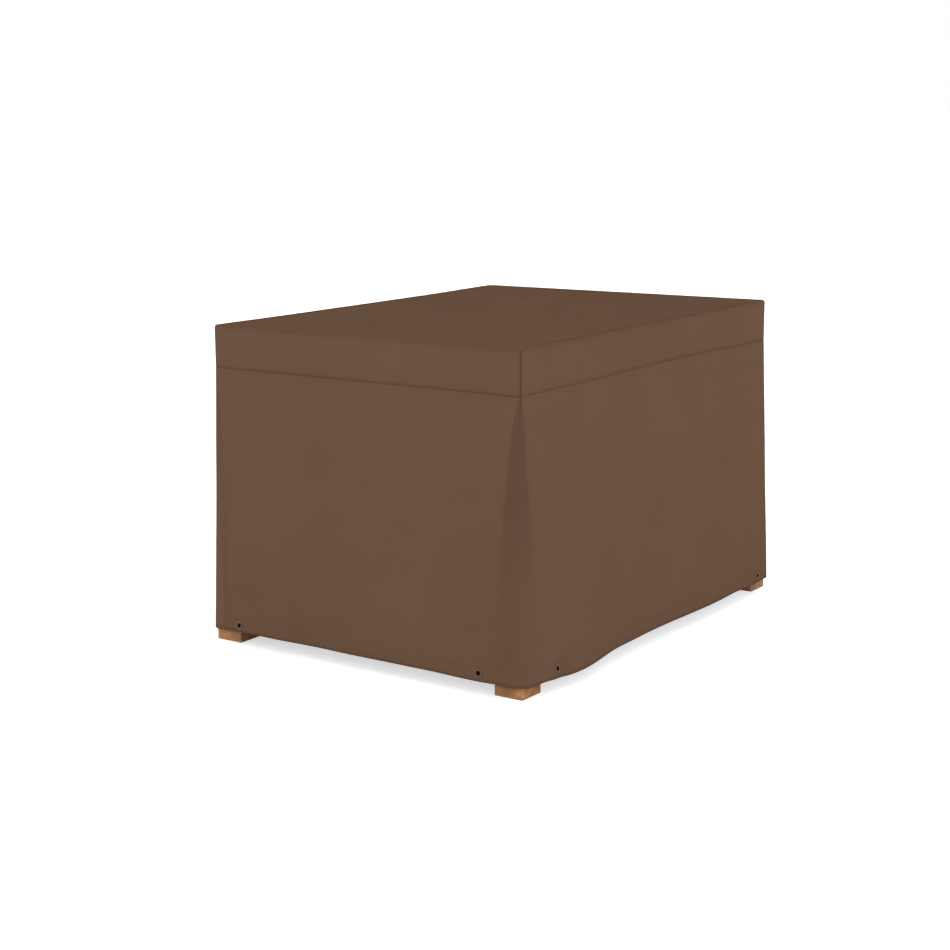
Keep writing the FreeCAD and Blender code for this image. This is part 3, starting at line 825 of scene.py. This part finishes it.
def fabric_material(name, colour):
    """Coated polyester cloth: a plain weave, slightly uneven dye, and darker beside the seams and along
    the hem's fold, from dust and from painted shade.
    """
    nodes = Nodes(name)
    weave = nodes.add("ShaderNodeUVMap", uv_map="weave")
    place = nodes.place()
    warp, weft = [nodes.math("SINE", nodes.math("MULTIPLY", axis, math.pi / WEAVE_PITCH))
                  for axis in nodes.split(weave)]
    threads = nodes.math("MULTIPLY", warp, weft)
    slubs = nodes.noise(weave, scale=700.0, detail=2.0)
    mottle = nodes.noise(place, scale=4.0, detail=5.0, roughness=0.6)
    creases = nodes.noise(place, scale=30.0, roughness=0.55)
    dye = nodes.ramp(mottle, [(0.25, tinted(colour, 0.95)), (0.75, tinted(colour, 1.05))])
    fleck = nodes.ramp(slubs, [(0.3, grey(0.90)), (0.7, grey(1.10))])
    lit = nodes.remap(threads, (-1.0, 1.0), (0.88, 1.12))
    woven = nodes.multiply(nodes.multiply(dye, fleck), lit)
    # Dust and painted shade: the cloth is darkened beside the seams and along the hem's fold.
    seam = nodes.add("ShaderNodeAttribute", output="Fac", attribute_name="seam")
    shaded_and_dusty = nodes.mix(nodes.math("MULTIPLY", seam, SEAM_SHADE_AND_DUST), woven, tinted(colour, 0.50))
    rough = nodes.remap(creases, target=(0.76, 0.92))
    soft = nodes.bump(creases, distance=0.0008)
    relief = nodes.bump(nodes.math("ADD", threads, slubs), distance=0.00022, normal=soft)
    return nodes.finish(Base_Color=shaded_and_dusty, Roughness=rough, Normal=relief, Sheen_Weight=0.04,
                        Sheen_Roughness=0.5, Sheen_Tint=tinted(colour, 4.0), Specular_IOR_Level=0.0)


def thread_material(name, colour):
    """Twisted sewing thread."""
    nodes = Nodes(name)
    place = nodes.place()
    strands = nodes.add("ShaderNodeTexWave", {"Vector": place, "Scale": 900.0, "Distortion": 2.0},
                        wave_type="BANDS", bands_direction="DIAGONAL")
    dye = nodes.noise(place, scale=60.0)
    shade = nodes.ramp(dye, [(0.2, tinted(colour, 0.85)), (0.8, tinted(colour, 1.1))])
    return nodes.finish(Base_Color=shade, Roughness=0.8, Specular_IOR_Level=0.05,
                        Normal=nodes.bump(strands, distance=0.00005))


def timber_material(name, along, seed, pale, dark, shaded_in_nooks=False):
    """Solid timber: fine growth rings round a pith line along the timber, pores, and worn edges. With
    its last flag set, painted shade darkens it in its nooks and where something lies close to it."""
    nodes = Nodes(name)
    pick = random.Random(seed)
    shift = [pick.uniform(-0.10, 0.10) for _ in range(3)]
    turned = {"X": (0, QUARTER_TURN, 0), "Y": (QUARTER_TURN, 0, 0), "Z": (0, 0, 0)}[along]
    local = nodes.add("ShaderNodeMapping", {"Vector": nodes.place(), "Location": shift, "Rotation": turned})
    stretched = nodes.add("ShaderNodeMapping", {"Vector": local, "Scale": (1.0, 1.0, GRAIN_STRETCH)})
    warp = nodes.noise(stretched, scale=22.0, detail=4.0)
    rings = nodes.add("ShaderNodeTexWave",
                      {"Vector": stretched, "Scale": 44.0, "Distortion": 9.0, "Detail": 4.0,
                       "Detail Scale": 1.6, "Phase Offset": pick.uniform(0, 20)},
                      output="Fac", wave_type="RINGS", rings_direction="Z")
    pores = nodes.noise(stretched, scale=700.0, detail=2.0, roughness=0.7)
    patches = nodes.noise(local, scale=38.0, detail=4.0, roughness=0.6)
    grain = nodes.math("ADD", nodes.math("MULTIPLY", rings, 0.38), nodes.math("MULTIPLY", warp, 0.75))
    tone = nodes.ramp(grain, [(0.20, dark), (0.50, tinted(pale, 0.90)), (0.85, tinted(pale, 1.08))])
    blotch = nodes.ramp(patches, [(0.30, FLECK_DARK), (0.70, FLECK_PALE)])
    fleck = nodes.ramp(pores, [(0.30, FLECK_DARK), (0.45, grey(1.0))])
    natural = nodes.multiply(nodes.multiply(tone, blotch), fleck)
    wear = nodes.math("MULTIPLY", nodes.edge_wear(ARRIS), ARRIS_WEAR)
    shade = nodes.mix(wear, natural, tinted(dark, 0.55))
    # Painted shade: where other things close the timber in, as the cover does round a foot, its colour is
    # darkened.
    if shaded_in_nooks:
        nook_shade = nodes.remap(nodes.open_air(NOOK_DISTANCE, samples=12), NOOK, (0.0, NOOK_SHADE))
        shade = nodes.mix(nook_shade, shade, tinted(dark, 0.12))
    rough = nodes.remap(grain, target=(0.78, 0.60))
    relief = nodes.math("ADD", nodes.math("MULTIPLY", grain, 0.6), pores)
    return nodes.finish(Base_Color=shade, Roughness=rough, Normal=nodes.bump(relief, distance=0.0004),
                        Specular_IOR_Level=0.15)


def eyelet_material(name, colour):
    """Bronzed brass: its edges worn brighter, which is also a painted highlight, and painted shade
    that darkens the bore almost to black, where it is no metal.
    """
    nodes = Nodes(name)
    place = nodes.place()
    tarnish = nodes.noise(place, scale=160.0, detail=4.0, roughness=0.6)
    marks = nodes.noise(place, scale=1400.0, detail=2.0)
    shade = nodes.ramp(tarnish, [(0.3, tinted(colour, 0.80)), (0.7, tinted(colour, 1.20))])
    # Worn edges, which are also a painted highlight on the flange.
    wear = nodes.math("MULTIPLY", nodes.edge_wear(RIM), RIM_WEAR_AND_HIGHLIGHT)
    rubbed_and_highlit = nodes.mix(wear, shade, tinted(colour, 2.4))
    # Painted shade: where its air is closed in, down the bore, it is darkened almost to black and is no
    # metal.
    unshaded = nodes.remap(nodes.open_air(BORE_DISTANCE, samples=16), BORE)
    shaded_in_nooks = nodes.mix(unshaded, tinted(colour, 0.04), rubbed_and_highlit)
    rough = nodes.remap(tarnish, target=(0.40, 0.55))
    metal = nodes.remap(unshaded, target=(0.0, 0.7))
    return nodes.finish(Base_Color=shaded_in_nooks, Metallic=metal, Roughness=rough,
                        Specular_IOR_Level=0.10, Normal=nodes.bump(marks, distance=0.00003))


def zinc_material(name, colour):
    """Zinc-plated steel with fine rubbing marks and uneven tarnish."""
    nodes = Nodes(name)
    place = nodes.place()
    tarnish = nodes.noise(place, scale=60.0, detail=4.0, roughness=0.6)
    marks = nodes.noise(place, scale=720.0, detail=2.0)
    shade = nodes.ramp(tarnish, [(0.3, tinted(colour, 0.72)), (0.7, tinted(colour, 1.15))])
    rough = nodes.remap(tarnish, target=(0.28, 0.45))
    return nodes.finish(Base_Color=shade, Metallic=1.0, Roughness=rough,
                        Normal=nodes.bump(marks, distance=0.00005))


def dress(name, material):
    """Put a material in every slot of a CAD node."""
    for slot in frame["nodes"][name].material_slots:
        slot.material = material


# ---- the cover ----

def build_sheets():
    """The cover's four sheets, in their own cloths."""
    top = top_sheet()
    band = ring_sheet("band_sheet", band_profile())
    skirt = ring_sheet("skirt_sheet", skirt_profile())
    facing = ring_sheet("hem_facing_sheet", facing_profile())
    facing.data.flip_normals()
    punch_holes(skirt)
    punch_holes(facing)
    cloths = {
        # Painted shade: the top's cloth is painted darker than the rest, since more of the surrounding
        # light falls on it.
        top: fabric_material("top_cloth_painted_darker", tinted(FABRIC_COLOUR, 0.93)),
        band: fabric_material("band_cloth", FABRIC_COLOUR),
        skirt: fabric_material("skirt_cloth", FABRIC_COLOUR),
        facing: fabric_material("hem_cloth", tinted(FABRIC_COLOUR, 0.9)),
    }
    for piece, cloth in cloths.items():
        piece.data.materials.append(cloth)
        thicken(piece)
    return top, band, skirt, facing


def build_stitches():
    """The rows of stitches on the band and on the hem."""
    thread = thread_material("sewing_thread", THREAD_COLOUR)
    on_band = [level_row(TOP_Z - TOPSTITCH - ROLL), level_row(SEAM_Z + TOPSTITCH)]
    on_hem = [level_row(FACING_Z - HEM_EDGE), level_row(HEM_Z + TOPSTITCH)]
    stitches = [stitch_rows("band_stitches", on_band), stitch_rows("hem_stitches", on_hem)]
    for piece in stitches:
        piece.data.materials.append(thread)
    return stitches


def build_cover():
    top, band, skirt, facing = build_sheets()
    band_stitches, hem_stitches = build_stitches()
    slots = {top: "top_fabric", band: "band_fabric", skirt: "cover_fabric", facing: "hem_fabric",
             band_stitches: "band_fabric", hem_stitches: "hem_fabric"}
    for piece, slot in slots.items():
        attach(piece, "cover")
    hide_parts("top_panel")
    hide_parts(*["band_" + side for side in SIDES])
    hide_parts(*["skirt_" + side for side in SIDES])
    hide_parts(*["hem_facing_" + side for side in SIDES])
    # This holds painted shade down the eyelets' bores and a painted highlight on their edges.
    bronze = eyelet_material("eyelet_metal_painted_shade", EYELET_COLOUR)
    dress("eyelets", bronze)
    dress("eyelet_washers", bronze)


# ---- the stand ----

def timber_kind(name):
    """Which way a timber runs, its pale and dark colours and whether it gets painted shade in its
    nooks, or None for a node that isn't a timber."""
    if name.startswith("foot_") and name != "foot_dowels":
        return "X", FOOT_PALE, FOOT_DARK, True
    if name.startswith("post_"):
        return "Z", TIMBER_PALE, TIMBER_DARK, False
    if name.startswith("deck_board") or name.endswith(("rail_front", "rail_back")):
        return "X", TIMBER_PALE, TIMBER_DARK, False
    if name == "deck_joist" or name.endswith(("rail_left", "rail_right")):
        return "Y", TIMBER_PALE, TIMBER_DARK, False
    return None


def build_stand():
    timbers = [name for name in sorted(frame["nodes"]) if timber_kind(name)]
    for seed, name in enumerate(timbers, start=1):
        along, pale, dark, shaded_in_nooks = timber_kind(name)
        dress(name, timber_material(name + "_wood", along, seed, pale, dark, shaded_in_nooks))
    dress("foot_dowels", timber_material("dowel_wood", "Z", DOWEL_SEED, DOWEL_PALE, DOWEL_DARK))
    zinc = zinc_material("zinc_plate", ZINC_COLOUR)
    dress("deck_screws", zinc)
    dress("rail_screws", zinc)


# ---- studio ----

FLOOR_HALF = 60.0
FLOOR_PATCHES = (0.87, 0.89)     # how pale the floor's darkest and palest patches are
FLOOR_UNDER_SHADOW = 0.25       # how pale it is painted under the cover, as a painted shadow
FLOOR_GLOW = 0.58        # what the open floor adds to itself where the camera sees it
# How far inside the top's edges the floor under the cover ends, across and along, and its blend.
UNDER_INSETS = (0.055, 0.092)
UNDER_BLEND = 0.01
ROOF_DISTANCE = 1.3      # how near the cover has to be to close in the floor
ROOF = (0.25, 0.40)      # how open the floor's air is where it is covered, and where it isn't

SURROUND = 0.97          # brightness of the even light from all round
# Each softbox's direction from the object, its distance and width, and its strength, which is how
# bright it makes a white face that is turned to it.
SOFTBOXES = {
    "left_softbox": ((-1.0, -0.52, 0.20), 8.0, 4.3, 0.38),
    "right_softbox": ((1.0, 0.38, 0.20), 8.0, 5.3, 0.26),
    "front_softbox": ((0.60, -0.80, 0.12), 8.0, 5.0, 0.16),
    "top_softbox": ((0.35, -0.60, 1.0), 2.6, 1.2, 0.09),
}

LENS_MM = 70.14
SENSOR_MM = 36.0
CAMERA_RIGHT = 2.4426    # from the top's right edge
CAMERA_FRONT = 3.7373    # from its front edge
CAMERA_HEIGHT = 1.4572
CAMERA_HEADING = 34.626  # degrees to the left of straight back
CAMERA_DOWN = 11.164     # degrees below level
CAMERA_ROLL = -0.348


def floor_material():
    """A white floor that glows a little, to the camera alone. Under the cover it has a painted shadow
    and no glow, so that what shows through the eyelets' bores is dark."""
    nodes = Nodes("studio_floor")
    place = nodes.place()
    patches = nodes.ramp(nodes.noise(place, scale=0.4), [(0.0, grey(FLOOR_PATCHES[0])),
                                                         (1.0, grey(FLOOR_PATCHES[1]))])
    edges = [HALF_X - UNDER_INSETS[0], HALF_Y - UNDER_INSETS[1]]
    outside = [nodes.remap(nodes.math("ABSOLUTE", axis), (edge, edge + UNDER_BLEND))
               for axis, edge in zip(nodes.split(place), edges)]
    uncovered = nodes.remap(nodes.open_air(ROOF_DISTANCE, samples=8), ROOF)
    open_floor = nodes.math("MAXIMUM", uncovered, nodes.math("MAXIMUM", *outside))
    # Painted shadow: the floor's colour is dark where the cover stands over it.
    shade = nodes.mix(open_floor, grey(FLOOR_UNDER_SHADOW), patches)
    seen = nodes.add("ShaderNodeLightPath", output="Is Camera Ray")
    glow = nodes.math("MULTIPLY", open_floor, nodes.math("MULTIPLY", seen, FLOOR_GLOW))
    return nodes.finish(Base_Color=shade, Roughness=0.9, Specular_IOR_Level=0.0,
                        Emission_Color=grey(1.0), Emission_Strength=glow)


def build_floor():
    mesh = bpy.data.meshes.new("floor")
    corners = [(x_sign * FLOOR_HALF, y_sign * FLOOR_HALF, 0)
               for x_sign, y_sign in ((-1, -1), (1, -1), (1, 1), (-1, 1))]
    mesh.from_pydata(corners, [], [(0, 1, 2, 3)])
    mesh.materials.append(floor_material())
    floor = bpy.data.objects.new("floor", mesh)
    bpy.context.scene.collection.objects.link(floor)


def build_softbox(name, direction, distance, size, strength):
    """A large soft light that faces the object's middle."""
    target = Vector((0, 0, TOP_Z / 2))
    lamp = bpy.data.lights.new(name, "AREA")
    lamp.shape = "DISK"
    lamp.size = size
    lamp.energy = strength * math.pi ** 2 * distance ** 2
    thing = bpy.data.objects.new(name, lamp)
    toward = Vector(direction).normalized()
    thing.location = target + toward * distance
    thing.rotation_euler = toward.to_track_quat("Z", "Y").to_euler()
    bpy.context.scene.collection.objects.link(thing)


def build_world():
    """An even pale surround, and plain white where the camera sees it directly."""
    world = bpy.data.worlds.new("studio")
    bpy.context.scene.world = world
    world.use_nodes = True
    nodes = world.node_tree.nodes
    links = world.node_tree.links
    around = nodes["Background"]
    around.inputs["Color"].default_value = (1, 1, 1, 1)
    around.inputs["Strength"].default_value = SURROUND
    behind = nodes.new("ShaderNodeBackground")
    behind.inputs["Color"].default_value = (1, 1, 1, 1)
    path = nodes.new("ShaderNodeLightPath")
    mix = nodes.new("ShaderNodeMixShader")
    links.new(path.outputs["Is Camera Ray"], mix.inputs[0])
    links.new(around.outputs[0], mix.inputs[1])
    links.new(behind.outputs[0], mix.inputs[2])
    links.new(mix.outputs[0], nodes["World Output"].inputs["Surface"])


def build_camera():
    """Right of the near corner and a little above the top, looking along the diagonal."""
    lens = bpy.data.cameras.new("camera")
    lens.lens = LENS_MM
    lens.sensor_width = SENSOR_MM
    camera = bpy.data.objects.new("camera", lens)
    stand_at = Vector((HALF_X + CAMERA_RIGHT, -HALF_Y - CAMERA_FRONT, CAMERA_HEIGHT))
    heading = Matrix.Rotation(math.radians(CAMERA_HEADING), 4, "Z")
    tilt = Matrix.Rotation(math.radians(90 - CAMERA_DOWN), 4, "X")
    roll = Matrix.Rotation(math.radians(CAMERA_ROLL), 4, "Z")
    camera.matrix_world = Matrix.Translation(stand_at) @ heading @ tilt @ roll
    bpy.context.scene.collection.objects.link(camera)
    bpy.context.scene.camera = camera


build_camera()
build_cover()
build_stand()
build_floor()
build_world()
for softbox, settings in SOFTBOXES.items():
    build_softbox(softbox, *settings)
bpy.context.scene.view_settings.view_transform = "Standard"
